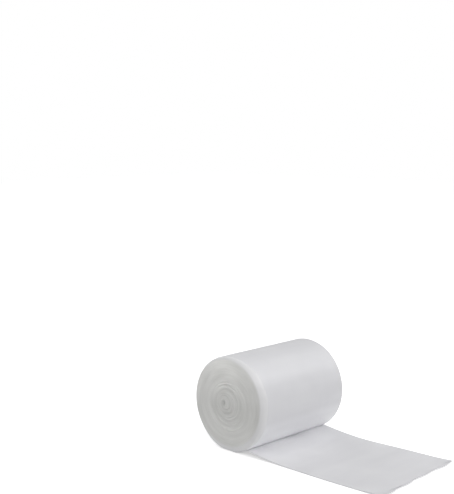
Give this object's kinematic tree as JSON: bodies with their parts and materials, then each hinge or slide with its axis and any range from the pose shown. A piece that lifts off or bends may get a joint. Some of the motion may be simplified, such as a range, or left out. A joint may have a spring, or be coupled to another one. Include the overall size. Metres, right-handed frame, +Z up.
{
  "type": "bin bag roll",
  "caption": "Coreless roll of perforated bin bags in folded milky film, with its loose end drawn out from under the roll.",
  "frame": {"origin": "middle of the small flat that the soft roll rests on, at floor height", "axes": "+X along the loose end, away from the roll; Y along the roll's axis; +Z up"},
  "size_m": [0.2893, 0.152, 0.1154],
  "materials": {
    "film": "satin milky film"
  },
  "bodies": {
    "root": {"bag_roll": "film"}
  },
  "joints": []
}
